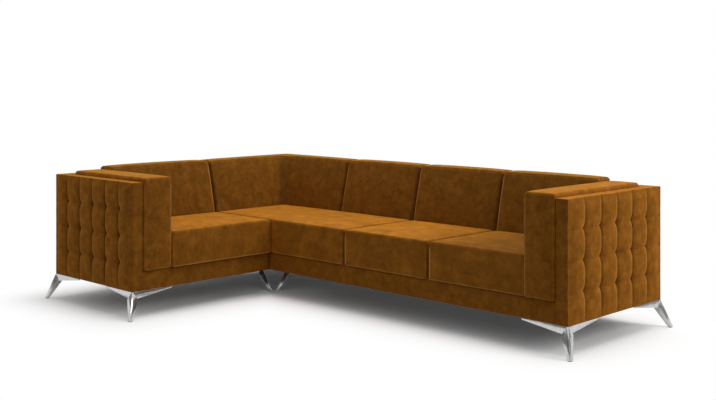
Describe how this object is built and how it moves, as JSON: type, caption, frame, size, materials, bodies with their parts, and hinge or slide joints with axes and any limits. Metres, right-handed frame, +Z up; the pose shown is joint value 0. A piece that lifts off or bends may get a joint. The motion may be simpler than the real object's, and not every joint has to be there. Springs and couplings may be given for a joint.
{
  "type": "corner sofa",
  "caption": "L-shaped corner sofa with low arms at both ends, tufted end panels, loose seat cushions, leaning back cushions and splayed metal legs.",
  "frame": {"origin": "on the floor, under the middle of the box around the plan", "axes": "+X along the main run towards its arm, +Y towards the main back, +Z up"},
  "size_m": [3.05, 1.951, 0.792],
  "materials": {
    "amber_velvet": "amber brown cotton velvet with a mottled nap",
    "leg_metal": "polished bright metal",
    "frame_timber": "sawn softwood",
    "panel_board": "plywood",
    "dust_cloth": "black non-woven cloth",
    "zinc_steel": "zinc plated",
    "glide_plastic": "black moulded"
  },
  "bodies": {
    "sofa_frame": {"arm_pad_return": "amber_velvet", "arm_pad_right": "amber_velvet", "back_board_corner_main": "panel_board", "back_board_corner_return": "panel_board", "back_board_main": "panel_board", "back_board_return": "panel_board", "back_cushion_corner": "amber_velvet", "back_cushion_main_1": "amber_velvet", "back_cushion_main_2": "amber_velvet", "back_cushion_main_3": "amber_velvet", "back_cushion_return": "amber_velvet", "back_panel_corner_main": "amber_velvet", "back_panel_corner_return": "amber_velvet", "back_panel_main": "amber_velvet", "back_panel_return": "amber_velvet", "corner_back_timber": "frame_timber", "corner_front_timber": "frame_timber", "corner_left_timber": "frame_timber", "corner_right_timber": "frame_timber", "dust_cover_corner": "dust_cloth", "dust_cover_main": "dust_cloth", "dust_cover_return": "dust_cloth", "end_board_return": "panel_board", "end_board_right": "panel_board", "end_panel_return": "amber_velvet", "end_panel_right": "amber_velvet", "foot_glides": "glide_plastic", "front_rail_main": "amber_velvet", "front_rail_return": "amber_velvet", "leg_corner_rear": "leg_metal", "leg_main_inner": "leg_metal", "leg_main_rear": "leg_metal", "leg_return_front": "leg_metal", "leg_return_inner": "leg_metal", "leg_return_rear": "leg_metal", "leg_return_seam": "leg_metal", "leg_right_front": "leg_metal", "leg_right_rear": "leg_metal", "leg_screws": "zinc_steel", "main_back_timber": "frame_timber", "main_cross_timber_1": "frame_timber", "main_cross_timber_2": "frame_timber", "main_front_timber": "frame_timber", "main_left_timber": "frame_timber", "main_right_timber": "frame_timber", "module_bolts": "zinc_steel", "return_back_timber": "frame_timber", "return_front_timber": "frame_timber", "return_inner_timber": "frame_timber", "return_outer_timber": "frame_timber", "seat_deck_corner": "panel_board", "seat_deck_main": "panel_board", "seat_deck_return": "panel_board"},
    "corner_seat": {"seat_cushion_corner": "amber_velvet"},
    "main_1_seat": {"seat_cushion_main_1": "amber_velvet"},
    "main_2_seat": {"seat_cushion_main_2": "amber_velvet"},
    "return_seat": {"seat_cushion_return": "amber_velvet"}
  },
  "joints": [
    {"name": "corner_seat_lift", "type": "slide", "parent": "sofa_frame", "child": "corner_seat", "axis": [0, 0, 1], "range_m": [0, 0.3]},
    {"name": "main_1_seat_lift", "type": "slide", "parent": "sofa_frame", "child": "main_1_seat", "axis": [0, 0, 1], "range_m": [0, 0.3]},
    {"name": "main_2_seat_lift", "type": "slide", "parent": "sofa_frame", "child": "main_2_seat", "axis": [0, 0, 1], "range_m": [0, 0.3]},
    {"name": "return_seat_lift", "type": "slide", "parent": "sofa_frame", "child": "return_seat", "axis": [0, 0, 1], "range_m": [0, 0.3]}
  ]
}
